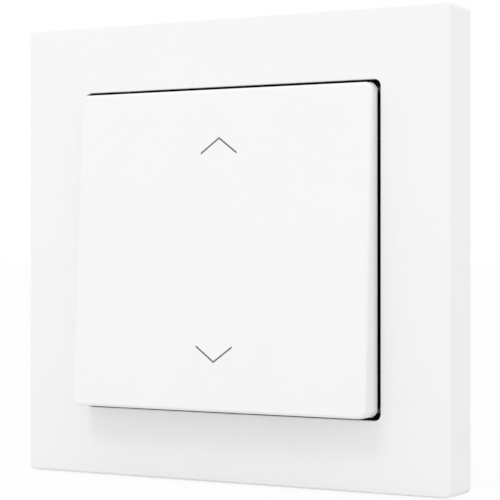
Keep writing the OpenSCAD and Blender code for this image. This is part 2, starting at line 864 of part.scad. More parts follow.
// Key at the back: pressed in, its two fingers open both clamps of one side
module release_key() {
    back = -base_depth + 0.1;
    block([key_x - key_w / 2, -key_half, back], [key_x + key_w / 2, key_half, back + key_t]);
    two_ways([0, 1, 0])
        block([finger_x - finger_w / 2, key_half - finger_h, back + key_t - 0.1],
              [finger_x + finger_w / 2, key_half, finger_tip]);
}

module release_key_right() {
    color("darkorange") on_wall() release_key();
}

module release_key_left() {
    color("darkorange") on_wall() mirror([1, 0, 0]) release_key();
}

// Claw: bent sheet, its foot behind the ring and its leg along the base housing
module claw() {
    front_bend = 0.8;
    toe_bend = 1.5;
    line = concat(
        [[claw_foot_end, claw_foot_z]],
        arc_points([claw_leg_x + front_bend, claw_foot_z - front_bend], front_bend, 90, 180, 4),
        arc_points([claw_leg_x + toe_bend, toe_bend - claw_length + 0.7], toe_bend, 180, 240, 4),
        [[claw_toe_x, -claw_length]]
    );
    difference() {
        union() {
            translate([0, claw_w / 2, 0]) rotate([90, 0, 0]) linear_extrude(claw_w)
                polygon(strip_outline(line, claw_t));
            // Two lugs that bear on the ring's back
            two_ways([0, 1, 0])
                block([claw_leg_x - claw_t / 2, claw_w / 2 - claw_lug_w, claw_foot_z - front_bend],
                      [claw_leg_x + claw_t / 2, claw_w / 2, -0.2]);
        }
        block([claw_leg_x - 2, -claw_window_r, claw_window_end],
              [claw_leg_x + claw_t, claw_window_r, 0]);
        block([claw_leg_x, -claw_slot_r, claw_foot_z - 1], [claw_screw_x, claw_slot_r, 0]);
        translate([claw_screw_x, 0, 0]) rod(claw_slot_r, claw_foot_z - 1, 0);
        // Notches that leave three teeth at the toe
        for (y = [-claw_w / 6, claw_w / 6]) translate([claw_toe_x + 0.4, y, -claw_length])
            rotate([0, 0, 45]) cube([claw_notch, claw_notch, 2 * claw_notch], center = true);
    }
}

module claw_right() {
    color("silver") on_wall() translate([0, -claw_y, 0]) claw();
}

module claw_left() {
    color("silver") on_wall() translate([0, claw_y, 0]) mirror([1, 0, 0]) claw();
}

// Pan head screw that pulls a claw's foot forward and swings its leg out
module claw_screw(side) {
    tip = ring_t - claw_screw_length;
    top = ring_t + claw_head_h;
    translate([side * claw_screw_x, -side * claw_y, 0]) difference() {
        rotate_extrude() polygon([
            [0, tip], [claw_screw_r - screw_tip, tip], [claw_screw_r, tip + screw_tip],
            [claw_screw_r, ring_t], [claw_head_r, ring_t], [claw_head_r, top - claw_head_edge],
            [claw_head_r - claw_head_edge, top], [0, top]]);
        drive_slot(claw_head_r, top, claw_head_h / 2);
    }
}

module claw_screw_right() {
    color("gold") on_wall() claw_screw(1);
}

module claw_screw_left() {
    color("gold") on_wall() claw_screw(-1);
}

cover_frame();
clip_frame();
support_ring();
base_housing();
front_housing();
housing_screw_upper();
housing_screw_lower();
rocker_cap();
rocker_cradle();
return_spring_upper();
return_spring_lower();
contact_slider();
contact_bridge_up();
contact_bridge_down();
moving_contacts();
fixed_contacts();
rail_common();
rail_up();
rail_down();
clamp_spring_upper_left();
clamp_spring_lower_left();
clamp_spring_upper_right();
clamp_spring_lower_right();
release_key_left();
release_key_right();
claw_left();
claw_right();
claw_screw_left();
claw_screw_right();
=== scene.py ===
import math

import bmesh
import bpy
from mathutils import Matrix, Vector


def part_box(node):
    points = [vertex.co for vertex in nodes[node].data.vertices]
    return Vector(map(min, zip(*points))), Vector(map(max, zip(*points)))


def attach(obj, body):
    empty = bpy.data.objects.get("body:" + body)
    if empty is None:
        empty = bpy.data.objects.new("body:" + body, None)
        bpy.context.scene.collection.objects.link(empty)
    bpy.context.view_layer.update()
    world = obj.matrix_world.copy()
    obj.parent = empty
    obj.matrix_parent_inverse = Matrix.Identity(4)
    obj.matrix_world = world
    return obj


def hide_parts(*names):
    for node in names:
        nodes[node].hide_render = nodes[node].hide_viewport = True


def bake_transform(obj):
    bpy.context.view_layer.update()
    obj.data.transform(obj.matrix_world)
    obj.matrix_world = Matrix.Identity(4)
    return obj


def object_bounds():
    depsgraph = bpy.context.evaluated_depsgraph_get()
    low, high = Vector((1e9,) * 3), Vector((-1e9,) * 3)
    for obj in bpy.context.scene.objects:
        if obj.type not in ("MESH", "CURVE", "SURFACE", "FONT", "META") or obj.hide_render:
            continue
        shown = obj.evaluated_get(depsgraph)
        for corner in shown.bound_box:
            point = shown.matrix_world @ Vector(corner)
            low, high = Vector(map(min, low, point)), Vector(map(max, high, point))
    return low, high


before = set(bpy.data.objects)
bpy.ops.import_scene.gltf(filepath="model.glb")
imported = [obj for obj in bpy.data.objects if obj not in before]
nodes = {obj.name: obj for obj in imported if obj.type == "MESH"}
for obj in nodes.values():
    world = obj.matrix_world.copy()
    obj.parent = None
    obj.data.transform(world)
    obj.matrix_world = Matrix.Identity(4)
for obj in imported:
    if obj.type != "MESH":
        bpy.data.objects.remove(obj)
cad_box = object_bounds()


# ---- The photographer's table -------------------------------------------------------------
# The switch stands on a pale table in a white studio, lit evenly from all round. One small
# lamp in front and above adds the soft shadow under the rocker. The camera looks level at it.
fill_strength = 0.99
white = (1, 1, 1, 1)
lamp_place = (-0.08, -0.567, 0.70)
lamp_size = 0.20
lamp_watts = 0.92
lens = 109.83
camera_place = (0.11495, -0.2446, 0)
camera_turn = math.radians(25.17)
table_size = 8
table_colour = (0.8, 0.8, 0.8, 1)
table_whiteness = 0.94


def any_of(tree, *kinds):
    """Socket that is 1 for rays of the given kinds, else 0."""
    rays = tree.nodes.new("ShaderNodeLightPath")
    found = rays.outputs[kinds[0]]
    for kind in kinds[1:]:
        larger = tree.nodes.new("ShaderNodeMath")
        larger.operation = "MAXIMUM"
        tree.links.new(found, larger.inputs[0])
        tree.links.new(rays.outputs[kind], larger.inputs[1])
        found = larger.outputs[0]
    return found


def two_sided(tree, factor, lit_by, seen_as, output):
    """What the light meets, and what is seen of it instead as far as factor is 1."""
    either = tree.nodes.new("ShaderNodeMixShader")
    tree.links.new(factor, either.inputs["Fac"])
    tree.links.new(lit_by.outputs[0], either.inputs[1])
    tree.links.new(seen_as.outputs[0], either.inputs[2])
    tree.links.new(either.outputs[0], tree.nodes.new(output).inputs["Surface"])


world = bpy.data.worlds.new("white_studio")
bpy.context.scene.world = world
bpy.context.scene.view_settings.view_transform = "Standard"
world.use_nodes = True
sky = world.node_tree
sky.nodes.clear()
backgrounds = []
for strength in (fill_strength, 1.0):
    background = sky.nodes.new("ShaderNodeBackground")
    background.inputs["Color"].default_value = white
    background.inputs["Strength"].default_value = strength
    backgrounds.append(background)
two_sided(sky, any_of(sky, "Is Camera Ray", "Is Glossy Ray", "Is Transmission Ray"),
          *backgrounds, "ShaderNodeOutputWorld")

lamp = bpy.data.lights.new("window_lamp", "AREA")
lamp.shape = "SQUARE"
lamp.size = lamp_size
lamp.energy = lamp_watts
stand = bpy.data.objects.new("window_lamp", lamp)
stand.location = lamp_place
stand.rotation_euler = (-Vector(lamp_place)).to_track_quat("-Z", "Y").to_euler()
bpy.context.scene.collection.objects.link(stand)

camera = bpy.data.cameras.new("camera")
camera.lens = lens
camera.sensor_width = 36
camera.clip_start = 0.01
tripod = bpy.data.objects.new("camera", camera)
tripod.location = camera_place
tripod.rotation_euler = (math.radians(90), 0, camera_turn)
bpy.context.scene.collection.objects.link(tripod)
bpy.context.scene.camera = tripod

bpy.ops.object.select_all(action="DESELECT")
bpy.ops.mesh.primitive_plane_add(size=table_size, location=(0, 0, cad_box[0].z))
table = bpy.context.object
table.name = "table_top"
paint = bpy.data.materials.new("table_white")
paint.use_nodes = True
top = paint.node_tree
top.nodes.clear()
part_white = top.nodes.new("ShaderNodeMath")
part_white.operation = "MULTIPLY"
part_white.inputs[1].default_value = table_whiteness
top.links.new(any_of(top, "Is Camera Ray", "Is Glossy Ray"), part_white.inputs[0])
matt = top.nodes.new("ShaderNodeBsdfDiffuse")
matt.inputs["Color"].default_value = table_colour
glow = top.nodes.new("ShaderNodeEmission")
glow.inputs["Strength"].default_value = 1.0
two_sided(top, part_white.outputs[0], matt, glow, "ShaderNodeOutputMaterial")
table.data.materials.append(paint)


# ---- Cover frame --------------------------------------------------------------------------
# Square cover frame of glossy white thermoplastic, moulded as an open shell with 2 mm walls.
# Its sides lean in a little towards the front; hooks inside snap onto the retaining frame.
mm = 0.001
near = 0.01 * mm
cover_back_w = 80.8 * mm
cover_w = 80.0 * mm
cover_depth = 9.5 * mm
cover_wall = 2.0 * mm
cover_corner_r = 1.0 * mm
cover_rim_r = 0.45 * mm
border_w = 11.95 * mm
opening_w = cover_w - 2 * border_w
opening_corner_r = 1.1 * mm
opening_back_z, opening_front_z = 5.0 * mm, 11.0 * mm
rear_slant = 1.4 * mm
front_rim_r = 0.15 * mm


def block(name, width, depth, height, front=0.0, x=0.0, z=0.0):
    """Cuboid that starts at the wall plane, or at front, and reaches depth out of the wall."""
    bpy.ops.object.select_all(action="DESELECT")
    bpy.ops.mesh.primitive_cube_add(size=1, location=(x, -front - depth / 2, z),
                                    scale=(width, depth, height))
    bpy.ops.object.transform_apply(location=True, rotation=False, scale=True)
    piece = bpy.context.object
    piece.name = piece.data.name = name
    return piece


def pick_edges(piece, wanted):
    """In edit mode, selects the edges for which wanted(middle, direction) holds."""
    bpy.ops.mesh.select_mode(type="EDGE")
    bpy.ops.mesh.select_all(action="DESELECT")
    shape = bmesh.from_edit_mesh(piece.data)
    for edge in shape.edges:
        a, b = (corner.co for corner in edge.verts)
        if wanted((a + b) / 2, (b - a).normalized()):
            edge.select_set(True)
    shape.select_flush_mode()
    bmesh.update_edit_mesh(piece.data)


def pick_faces(piece, wanted):
    """In edit mode, selects the faces for which wanted(middle, normal) holds."""
    bpy.ops.mesh.select_mode(type="FACE")
    bpy.ops.mesh.select_all(action="DESELECT")
    shape = bmesh.from_edit_mesh(piece.data)
    for face in shape.faces:
        if wanted(face.calc_center_median(), face.normal):
            face.select_set(True)
    shape.select_flush_mode()
    bmesh.update_edit_mesh(piece.data)


def thicken(piece, wall):
    """Gives an open shell its wall, to the inside."""
    bpy.ops.object.mode_set(mode="OBJECT")
    solid = piece.modifiers.new("wall", "SOLIDIFY")
    solid.thickness = wall
    solid.offset = -1
    solid.use_even_offset = True
    bpy.ops.object.modifier_apply(modifier="wall")
    bpy.ops.object.mode_set(mode="EDIT")


def round_off(radius, segments):
    """Bevels the selected edges."""
    bpy.ops.mesh.bevel(offset=radius, segments=segments, affect="EDGES")


def smooth(piece):
    """Smooth shading over the rounded edges, flat faces kept flat."""
    bpy.ops.object.mode_set(mode="OBJECT")
    bpy.ops.object.shade_smooth_by_angle(angle=math.radians(40))
    level = piece.modifiers.new("flat_faces", "WEIGHTED_NORMAL")
    level.keep_sharp = True
    bpy.ops.object.modifier_apply(modifier="flat_faces")


def along_y(direction):
    return abs(direction.y) > 0.99


def cut_out(piece, tool):
    """Takes the tool's shape out of a piece; the tool itself goes."""
    bpy.ops.object.mode_set(mode="OBJECT")
    bpy.ops.object.select_all(action="DESELECT")
    bpy.context.view_layer.objects.active = piece
    piece.select_set(True)
    cut = piece.modifiers.new("cut", "BOOLEAN")
    cut.operation = "DIFFERENCE"
    cut.object = tool
    bpy.ops.object.modifier_apply(modifier="cut")
    bpy.data.objects.remove(tool)


cover = block("cover_frame_shell", cover_back_w, cover_depth, cover_back_w)
bpy.ops.object.mode_set(mode="EDIT")
pick_faces(cover, lambda at, normal: normal.y < -0.9)
bpy.ops.transform.resize(value=(cover_w / cover_back_w, 1, cover_w / cover_back_w),
                         center_override=(0, 0, 0))
pick_faces(cover, lambda at, normal: normal.y > 0.9)
bpy.ops.mesh.delete(type="FACE")
thicken(cover, cover_wall)
pick_edges(cover, lambda at, way: along_y(way) and abs(at.x) > cover_w / 2 - 0.5 * mm)
round_off(cover_corner_r, 8)
pick_edges(cover, lambda at, way: at.y < -cover_depth + near)
round_off(cover_rim_r, 6)
bpy.ops.object.mode_set(mode="OBJECT")
opening = block("opening", opening_w, opening_front_z - opening_back_z, opening_w,
                front=opening_back_z)
bpy.ops.object.mode_set(mode="EDIT")
pick_edges(opening, lambda at, way: along_y(way))
round_off(opening_corner_r, 8)
cut_out(cover, opening)
bpy.ops.object.mode_set(mode="EDIT")


def at_rim(at):
    return max(abs(at.x), abs(at.z)) < opening_w / 2 + near


# The rim of the opening: a thin lip in front, cut away at a slant behind
pick_edges(cover, lambda at, way: at_rim(at) and at.y > -cover_depth + cover_wall - near)
round_off(rear_slant, 1)
pick_edges(cover, lambda at, way: at_rim(at) and at.y < -cover_depth + near)
round_off(front_rim_r, 3)
smooth(cover)


def noise(tree, where, scale, detail=2):
    """Noise pattern over the given coordinates."""
    texture = tree.nodes.new("ShaderNodeTexNoise")
    texture.inputs["Scale"].default_value = scale
    texture.inputs["Detail"].default_value = detail
    tree.links.new(where, texture.inputs["Vector"])
    return texture.outputs["Fac"]


def two_tone(tree, pattern, dark, light, into):
    """A colour between two shades, after a pattern."""
    shade = tree.nodes.new("ShaderNodeMix")
    shade.data_type = "RGBA"
    shade.inputs["A"].default_value = (*dark, 1)
    shade.inputs["B"].default_value = (*light, 1)
    tree.links.new(pattern, shade.inputs["Factor"])
    tree.links.new(shade.outputs["Result"], into)


def uneven(tree, pattern, middle, spread, into):
    """A value that strays from its middle, after a pattern."""
    span = tree.nodes.new("ShaderNodeMapRange")
    span.inputs["To Min"].default_value = middle - spread
    span.inputs["To Max"].default_value = middle + spread
    tree.links.new(pattern, span.inputs["Value"])
    tree.links.new(span.outputs["Result"], into)


def fine_relief(tree, pattern, depth, strength, edge_r, into):
    """Relief after a pattern, on a surface whose edges look rounded."""
    relief = tree.nodes.new("ShaderNodeBump")
    relief.inputs["Distance"].default_value = depth
    relief.inputs["Strength"].default_value = strength
    tree.links.new(pattern, relief.inputs["Height"])
    soft_edge = tree.nodes.new("ShaderNodeBevel")
    soft_edge.inputs["Radius"].default_value = edge_r
    tree.links.new(soft_edge.outputs["Normal"], relief.inputs["Normal"])
    tree.links.new(relief.outputs["Normal"], into)


def moulded_plastic(name, colour, roughness, grain=0.004, grain_size=9000, mottle=0.02):
    """Moulded plastic: even colour with faint clouds, and the fine grain of the mould's surface."""
    finish = bpy.data.materials.new(name)
    finish.use_nodes = True
    tree = finish.node_tree
    plastic = tree.nodes["Principled BSDF"]
    plastic.inputs["IOR"].default_value = 1.5
    place = tree.nodes.new("ShaderNodeTexCoord").outputs["Object"]
    clouds = noise(tree, place, 60, 3)
    two_tone(tree, clouds, [c * (1 - mottle) for c in colour], colour, plastic.inputs["Base Color"])
    uneven(tree, clouds, roughness, 0.05, plastic.inputs["Roughness"])
    fine_relief(tree, noise(tree, place, grain_size), grain * mm, 0.6, 0.12 * mm,
                plastic.inputs["Normal"])
    return finish


def dress(piece, finish):
    """Puts one finish on a piece or on a CAD node as it is."""
    if piece.material_slots:
        for place in piece.material_slots:
            place.material = finish
    else:
        piece.data.materials.append(finish)


# Snap hooks inside, two on each side, their noses behind the retaining frame's ledges
hook_w = 6.0 * mm
hook_t = 1.4 * mm
hook_nose = 0.9 * mm
hook_in = 33.3 * mm
hook_z = 3.0 * mm
nose_z = 4.2 * mm
hook_apart = 36 * mm
cover_in_z = cover_depth - cover_wall
hooks = []
for turn in range(4):
    for z in (-hook_apart / 2, hook_apart / 2):
        hook = block("hook", hook_t, cover_in_z - hook_z, hook_w, front=hook_z,
                     x=hook_in + hook_t / 2, z=z)
        bpy.ops.object.mode_set(mode="EDIT")
        bpy.ops.mesh.select_all(action="SELECT")
        bpy.ops.mesh.bisect(plane_co=(0, -nose_z, 0), plane_no=(0, 1, 0))
        pick_faces(hook, lambda at, normal: normal.x < -0.9 and at.y > -nose_z)
        bpy.ops.mesh.extrude_region_move(TRANSFORM_OT_translate={"value": (-hook_nose, 0, 0)})
        pick_edges(hook, lambda at, way: at.x < hook_in - hook_nose + near
                   and at.y > -hook_z - near)
        bpy.ops.transform.translate(value=(hook_nose, 0, 0))
        bpy.ops.mesh.select_all(action="SELECT")
        bpy.ops.mesh.remove_doubles(threshold=0.001 * mm)
        bpy.ops.transform.rotate(value=turn * math.pi / 2, orient_axis="Y",
                                 center_override=(0, 0, 0))
        bpy.ops.object.mode_set(mode="OBJECT")
        hooks.append(hook)


def join_all(piece, others):
    """Makes the others part of a piece."""
    bpy.ops.object.select_all(action="DESELECT")
    for other in others:
        other.select_set(True)
    piece.select_set(True)
    bpy.context.view_layer.objects.active = piece
    bpy.ops.object.join()


join_all(cover, hooks)

warm_white = (0.93, 0.93, 0.925)
cover_white = moulded_plastic("cover_white", warm_white, 0.34)
dress(cover, cover_white)
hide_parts("cover_frame")
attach(cover, "insert")


# ---- Rocker button ------------------------------------------------------------------------
# One-piece rocker of the same white plastic, moulded hollow with a slight draft. Its face slopes,
# the lower edge further out. Ribs inside rest on the black yoke, and four snap legs grip it.
rocker_w = 55.0 * mm
skirt_z = 9.3 * mm
face_z = 13.47 * mm
rocker_wall = 1.8 * mm
slope_angle = math.radians(3.33)
slope = math.tan(slope_angle)
draft = math.tan(math.radians(2.2))
rocker_corner_r = 1.35 * mm
rocker_rim_r = 0.6 * mm
skirt_rim_r = 0.1 * mm


def follow_slope(piece, front, level):
    """Tilts a block's front face, its edges at the given levels, parallel to the rocker's."""
    for z in level:
        pick_edges(piece, lambda at, way: at.y < near - front and abs(at.z - z) < near)
        bpy.ops.transform.translate(value=(0, slope * z, 0))


rocker = block("rocker_button", rocker_w, face_z - skirt_z, rocker_w, front=skirt_z)
bpy.ops.object.mode_set(mode="EDIT")
follow_slope(rocker, face_z, (rocker_w / 2, -rocker_w / 2))
for up in (1, -1):
    pick_edges(rocker, lambda at, way: abs(way.x) > 0.9 and up * at.z > rocker_w / 2 - 0.5 * mm
               and at.y < -skirt_z - 1.7 * mm)
    height = face_z - slope * up * rocker_w / 2 - skirt_z
    lean = 1 - draft * height / (rocker_w / 2)
    bpy.ops.transform.resize(value=(1, 1, lean), center_override=(0, 0, 0))
pick_faces(rocker, lambda at, normal: normal.y > 0.9)
bpy.ops.mesh.delete(type="FACE")
thicken(rocker, rocker_wall)
pick_edges(rocker, lambda at, way: along_y(way) and abs(at.x) > rocker_w / 2 - 0.4 * mm)
round_off(rocker_corner_r, 12)
pick_edges(rocker, lambda at, way: abs(at.y + face_z - slope * at.z) < 2 * near)
round_off(rocker_rim_r, 8)
pick_edges(rocker, lambda at, way: at.y > -skirt_z - near
           and max(abs(at.x), abs(at.z)) > rocker_w / 2 - 0.6 * mm)
round_off(skirt_rim_r, 2)
smooth(rocker)

# Ribs inside, from the middle of the face's wall back to the yoke
rib_t = 1.2 * mm
yoke_z = 9.2 * mm
upright_x, upright_l = 10 * mm, 38.4 * mm
level_z, level_l = 12 * mm, 33.2 * mm
root_z = face_z - rocker_wall / 2
ribs = []
for x in (-upright_x, upright_x):
    rib = block("rib", rib_t, root_z - yoke_z, upright_l, front=yoke_z, x=x)
    bpy.ops.object.mode_set(mode="EDIT")
    follow_slope(rib, root_z, (upright_l / 2, -upright_l / 2))
    bpy.ops.object.mode_set(mode="OBJECT")
    ribs.append(rib)
for z in (-level_z, 0, level_z):
    ribs.append(block("rib", level_l, root_z - slope * z - yoke_z, rib_t, front=yoke_z, z=z))

# Snap legs, each with a barb on its inner side that catches behind the yoke's plate
leg_w = 6 * mm
leg_x, leg_z = 6 * mm, 19.9 * mm
leg_tip_z = 6.2 * mm
barb_z = 7.0 * mm
barb_rise = 0.2 * mm
barb_reach = 0.8 * mm
leg_in_z = leg_z - rib_t / 2
for x in (-leg_x, leg_x):
    for up in (-1, 1):
        root = root_z - slope * up * leg_in_z
        leg = block("leg", leg_w, root - leg_tip_z, rib_t, front=leg_tip_z, x=x, z=up * leg_z)
        bpy.ops.object.mode_set(mode="EDIT")
        for cut_z in (barb_z + barb_rise, barb_z):
            bpy.ops.mesh.select_all(action="SELECT")
            bpy.ops.mesh.bisect(plane_co=(0, -cut_z, 0), plane_no=(0, 1, 0))
        pick_faces(leg, lambda at, normal: up * normal.z < -0.9 and at.y > -barb_z)
        bpy.ops.mesh.extrude_region_move(
            TRANSFORM_OT_translate={"value": (0, 0, -up * barb_rise)})
        pick_edges(leg, lambda at, way: abs(at.y + barb_z) < near
                   and abs(at.z) < leg_in_z - 0.1 * mm)
        bpy.ops.transform.translate(value=(0, 0, -up * barb_reach))
        bpy.ops.object.mode_set(mode="OBJECT")
        ribs.append(leg)
join_all(rocker, ribs)

rocker_white = moulded_plastic("rocker_white", warm_white, 0.3)
dress(rocker, rocker_white)
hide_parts("rocker_cap")
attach(rocker, "rocker")


# ---- Direction marks ----------------------------------------------------------------------
# Two thin grey chevrons printed on the rocker, pointing up near its top and down near its
# bottom. Each is one bent strip of ink, laid a hair above the sloping face.
line_w = 0.35 * mm
ink_t = 0.015 * mm
wing_w, wing_h = 3.38 * mm, 2.6 * mm
up_tip_z, down_tip_z = 19.03 * mm, -18.9 * mm

ink = bpy.data.materials.new("mark_grey")
ink.use_nodes = True
tree = ink.node_tree
lacquer = tree.nodes["Principled BSDF"]
lacquer.inputs["Roughness"].default_value = 0.45
place = tree.nodes.new("ShaderNodeTexCoord").outputs["Object"]
two_tone(tree, noise(tree, place, 4000), (0.14, 0.14, 0.127), (0.17, 0.17, 0.157),
         lacquer.inputs["Base Color"])

for name, up, tip_z in (("mark_up", 1, up_tip_z), ("mark_down", -1, down_tip_z)):
    mark = block(name, wing_w, ink_t, line_w, x=wing_w / 2)
    bpy.ops.object.mode_set(mode="EDIT")
    pick_edges(mark, lambda at, way: at.x > wing_w - near)
    bpy.ops.transform.translate(value=(0, 0, -up * wing_h))
    pick_faces(mark, lambda at, normal: at.x < near)
    bpy.ops.mesh.delete(type="FACE")
    bpy.ops.object.mode_set(mode="OBJECT")
    mark.modifiers.new("other_wing", "MIRROR")
    bpy.ops.object.modifier_apply(modifier="other_wing")
    bpy.ops.object.mode_set(mode="EDIT")
    bpy.ops.mesh.select_all(action="SELECT")
    bpy.ops.transform.rotate(value=slope_angle, orient_axis="X", center_override=(0, 0, 0))
    bpy.ops.transform.translate(value=(0, slope * tip_z - face_z, tip_z))
    bpy.ops.mesh.normals_make_consistent(inside=False)
    bpy.ops.object.mode_set(mode="OBJECT")
    dress(mark, ink)
    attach(mark, "rocker")


# ---- Rocker yoke --------------------------------------------------------------------------
# Black glass-filled plastic plate nearly as wide as the rocker. Its black is partly painted shade:
# it stands in for the shade in the gap and shows as the dark line round the rocker.
# Its pivot pins snap into the bearing ears, and the arm behind it drives the contact slider.
# painted shade: this black stands in for the shade in the gap round the rocker
gap_shade_black = (0.018, 0.018, 0.019)
coarse = {"grain": 0.02, "grain_size": 4000}
yoke_black_gap_shade = moulded_plastic("yoke_black_gap_shade", gap_shade_black, 0.5, **coarse)
dress(nodes["rocker_cradle"], yoke_black_gap_shade)


# ---- Retaining frame ----------------------------------------------------------------------
# Black plastic frame on the support ring, held by four pins in it. Its black collar lines the gap
# behind the cover as painted shade there, and the cover's hooks snap behind the ledges on its
# outside.
# painted shade: the collar's black lines the gap behind the cover in place of its shade
retainer_black = moulded_plastic("retainer_black", gap_shade_black, 0.55, **coarse)
dress(nodes["clip_frame"], retainer_black)


# ---- Support ring -------------------------------------------------------------------------
# Punched sheet steel ring, 1.2 mm thick and zinc plated, with slots for the wall screws.
# It lies on the wall with the insert's two housings clamped to it from both sides.
def sheet_metal(name, colour, roughness, clouds_scale=180, darkest=0.8, streaks=(40, 400, 40)):
    """Plated or rolled metal: cloudy tarnish in its colour, fine rolling lines in its gloss."""
    finish = bpy.data.materials.new(name)
    finish.use_nodes = True
    tree = finish.node_tree
    metal = tree.nodes["Principled BSDF"]
    metal.inputs["Metallic"].default_value = 1.0
    place = tree.nodes.new("ShaderNodeTexCoord").outputs["Object"]
    stretch = tree.nodes.new("ShaderNodeMapping")
    stretch.inputs["Scale"].default_value = streaks
    tree.links.new(place, stretch.inputs["Vector"])
    lines = noise(tree, stretch.outputs["Vector"], 30, 4)
    two_tone(tree, noise(tree, place, clouds_scale, 3), [c * darkest for c in colour], colour,
             metal.inputs["Base Color"])
    uneven(tree, lines, roughness, 0.08, metal.inputs["Roughness"])
    fine_relief(tree, lines, 0.006 * mm, 0.5, 0.1 * mm, metal.inputs["Normal"])
    return finish


ring_zinc = sheet_metal("ring_zinc", (0.68, 0.69, 0.70), 0.42)
dress(nodes["support_ring"], ring_zinc)


# ---- Front housing ------------------------------------------------------------------------
# Dark grey moulded cover of the switch mechanism, with the two bearing ears of the rocker,
# the pockets of the return springs and the slot that the yoke's arm goes through.
front_grey = moulded_plastic("front_grey", (0.06, 0.062, 0.065), 0.5, **coarse)
dress(nodes["front_housing"], front_grey)


# ---- Base housing -------------------------------------------------------------------------
# Light grey polyamide box that sits in the wall box and holds contacts and terminals. It has
# four funnelled wire entries in its back, and shows its mould's round ejector marks there.
base_grey = moulded_plastic("base_grey", (0.55, 0.56, 0.56), 0.5, **coarse)
ejector_x, ejector_z, ejector_r = 18.5 * mm, 8.0 * mm, 1.6 * mm
ejector_edge = 0.12 * mm
ejector_depth = 0.08 * mm
tree = base_grey.node_tree
place = tree.nodes.new("ShaderNodeTexCoord").outputs["Object"]
fold = tree.nodes.new("ShaderNodeVectorMath")
fold.operation = "ABSOLUTE"
tree.links.new(place, fold.inputs[0])
flatten = tree.nodes.new("ShaderNodeVectorMath")
flatten.operation = "MULTIPLY"
flatten.inputs[1].default_value = (1, 0, 1)
tree.links.new(fold.outputs[0], flatten.inputs[0])
reach = tree.nodes.new("ShaderNodeVectorMath")
reach.operation = "DISTANCE"
reach.inputs[1].default_value = (ejector_x, 0, ejector_z)
tree.links.new(flatten.outputs[0], reach.inputs[0])
dish = tree.nodes.new("ShaderNodeMapRange")
dish.interpolation_type = "SMOOTHSTEP"
dish.inputs["From Min"].default_value = ejector_r - ejector_edge
dish.inputs["From Max"].default_value = ejector_r
tree.links.new(reach.outputs["Value"], dish.inputs["Value"])
pin_marks = tree.nodes.new("ShaderNodeBump")
pin_marks.inputs["Distance"].default_value = ejector_depth
tree.links.new(dish.outputs["Result"], pin_marks.inputs["Height"])
grain = next(node for node in tree.nodes if node.type == "BUMP" and node != pin_marks)
tree.links.new(grain.inputs["Normal"].links[0].from_socket, pin_marks.inputs["Normal"])
tree.links.new(pin_marks.outputs["Normal"], grain.inputs["Normal"])
dress(nodes["base_housing"], base_grey)


# ---- Housing screws -----------------------------------------------------------------------
# Two countersunk steel screws, zinc plated with a yellow tint, that hold both housings
# together with the support ring between them.
screw_zinc = sheet_metal("screw_zinc", (0.66, 0.60, 0.44), 0.32, 400, 0.75)
for name in ("housing_screw_upper", "housing_screw_lower"):
    dress(nodes[name], screw_zinc)


# ---- Springs ------------------------------------------------------------------------------
# Two coil springs of round spring steel wire bring the rocker back to the middle and shorten
# as it tilts. Four bent leaf springs press the wires of the terminals against their rails.
spring_steel = sheet_metal("spring_steel", (0.60, 0.60, 0.60), 0.25, 500, 0.85)
leaf_steel = sheet_metal("leaf_steel", (0.66, 0.67, 0.70), 0.3, 260, 0.82, (300, 40, 40))
wire_r = 0.25 * mm
coil_turns = 6


def wind(sides, radius, start, roll, rise, turns, steps):
    """Upright helix of a wire with flat sides, its ends closed; stays in edit mode."""
    bpy.ops.object.select_all(action="DESELECT")
    bpy.ops.mesh.primitive_circle_add(vertices=sides, radius=radius, location=start,
                                      rotation=(math.pi / 2, roll, 0))
    wire = bpy.context.object
    bpy.ops.object.transform_apply(location=True, rotation=True)
    winding = wire.modifiers.new("winding", "SCREW")
    winding.axis = "Z"
    winding.angle = math.tau
    winding.screw_offset = rise
    winding.iterations = turns
    winding.steps = winding.render_steps = steps
    winding.use_merge_vertices = False
    bpy.ops.object.modifier_apply(modifier="winding")
    bpy.ops.object.mode_set(mode="EDIT")
    bpy.ops.mesh.select_mode(type="EDGE")
    bpy.ops.mesh.select_all(action="DESELECT")
    bpy.ops.mesh.select_non_manifold()
    bpy.ops.mesh.fill_holes(sides=sides)
    bpy.ops.mesh.select_all(action="SELECT")
    bpy.ops.mesh.normals_make_consistent(inside=False)
    return wire


def lay_down(piece, place):
    """In edit mode, turns the top of an upright piece to the front and moves it to its place."""
    bpy.ops.mesh.select_all(action="SELECT")
    bpy.ops.transform.rotate(value=math.radians(90), orient_axis="X", center_override=(0, 0, 0))
    bpy.ops.transform.translate(value=place)
    smooth(piece)


for name in ("return_spring_upper", "return_spring_lower"):
    low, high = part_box(name)
    coil_r = (high.x - low.x) / 2 - wire_r
    rise = (high.y - low.y - 2 * wire_r) / coil_turns
    middle = (low.z + high.z) / 2
    coil = wind(10, wire_r, (coil_r, 0, 0), 0, rise, coil_turns, 30)
    coil.name = coil.data.name = name.replace("spring", "coil")
    lay_down(coil, (0, high.y - wire_r, middle))
    dress(coil, spring_steel)
    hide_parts(name)
    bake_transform(coil)
for name, node in nodes.items():
    if name.startswith("clamp_spring"):
        dress(node, leaf_steel)


# ---- Contact slider -----------------------------------------------------------------------
# Cream-coloured low-friction plastic slider on the base's floor, with a punched bronze
# contact bridge pressed onto each end and two silver contact buttons riveted to each bridge.
slider_cream = moulded_plastic("slider_cream", (0.72, 0.66, 0.52), 0.45)
bridge_bronze = sheet_metal("bridge_bronze", (0.72, 0.42, 0.24), 0.3, 300, 0.7)
contact_silver = sheet_metal("contact_silver", (0.88, 0.87, 0.84), 0.22, 600, 0.85)
dress(nodes["contact_slider"], slider_cream)
dress(nodes["contact_bridge_up"], bridge_bronze)
dress(nodes["contact_bridge_down"], bridge_bronze)
dress(nodes["moving_contacts"], contact_silver)


